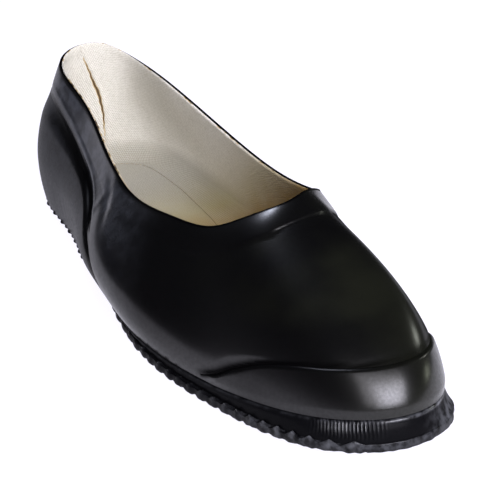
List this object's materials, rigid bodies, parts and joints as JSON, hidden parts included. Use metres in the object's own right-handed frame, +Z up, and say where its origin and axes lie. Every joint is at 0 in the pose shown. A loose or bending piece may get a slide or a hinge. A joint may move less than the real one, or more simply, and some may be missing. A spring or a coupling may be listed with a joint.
{
  "type": "rubber shoe",
  "caption": "Low black slip-on rubber shoe for the right foot, with a hollow upper, toe cap, heel counter, foxing strip, ribbed sole and low heel block.",
  "frame": {"origin": "centre of the shoe's bounding box, on the floor that the sole stands on", "axes": "+X from heel to toe, +Y to the inner side of the foot, +Z up"},
  "size_m": [0.2844, 0.0982, 0.0715],
  "materials": {
    "upper_rubber": "black dipped rubber with a satin gloss",
    "sole_rubber": "black moulded rubber, slightly duller than the upper",
    "cotton": "cream cotton twill"
  },
  "bodies": {
    "root": {"upper": "upper_rubber", "toe_cap": "upper_rubber", "counter": "upper_rubber", "foxing": "sole_rubber", "outsole": "sole_rubber", "heel": "sole_rubber", "insole": "cotton"}
  },
  "joints": []
}
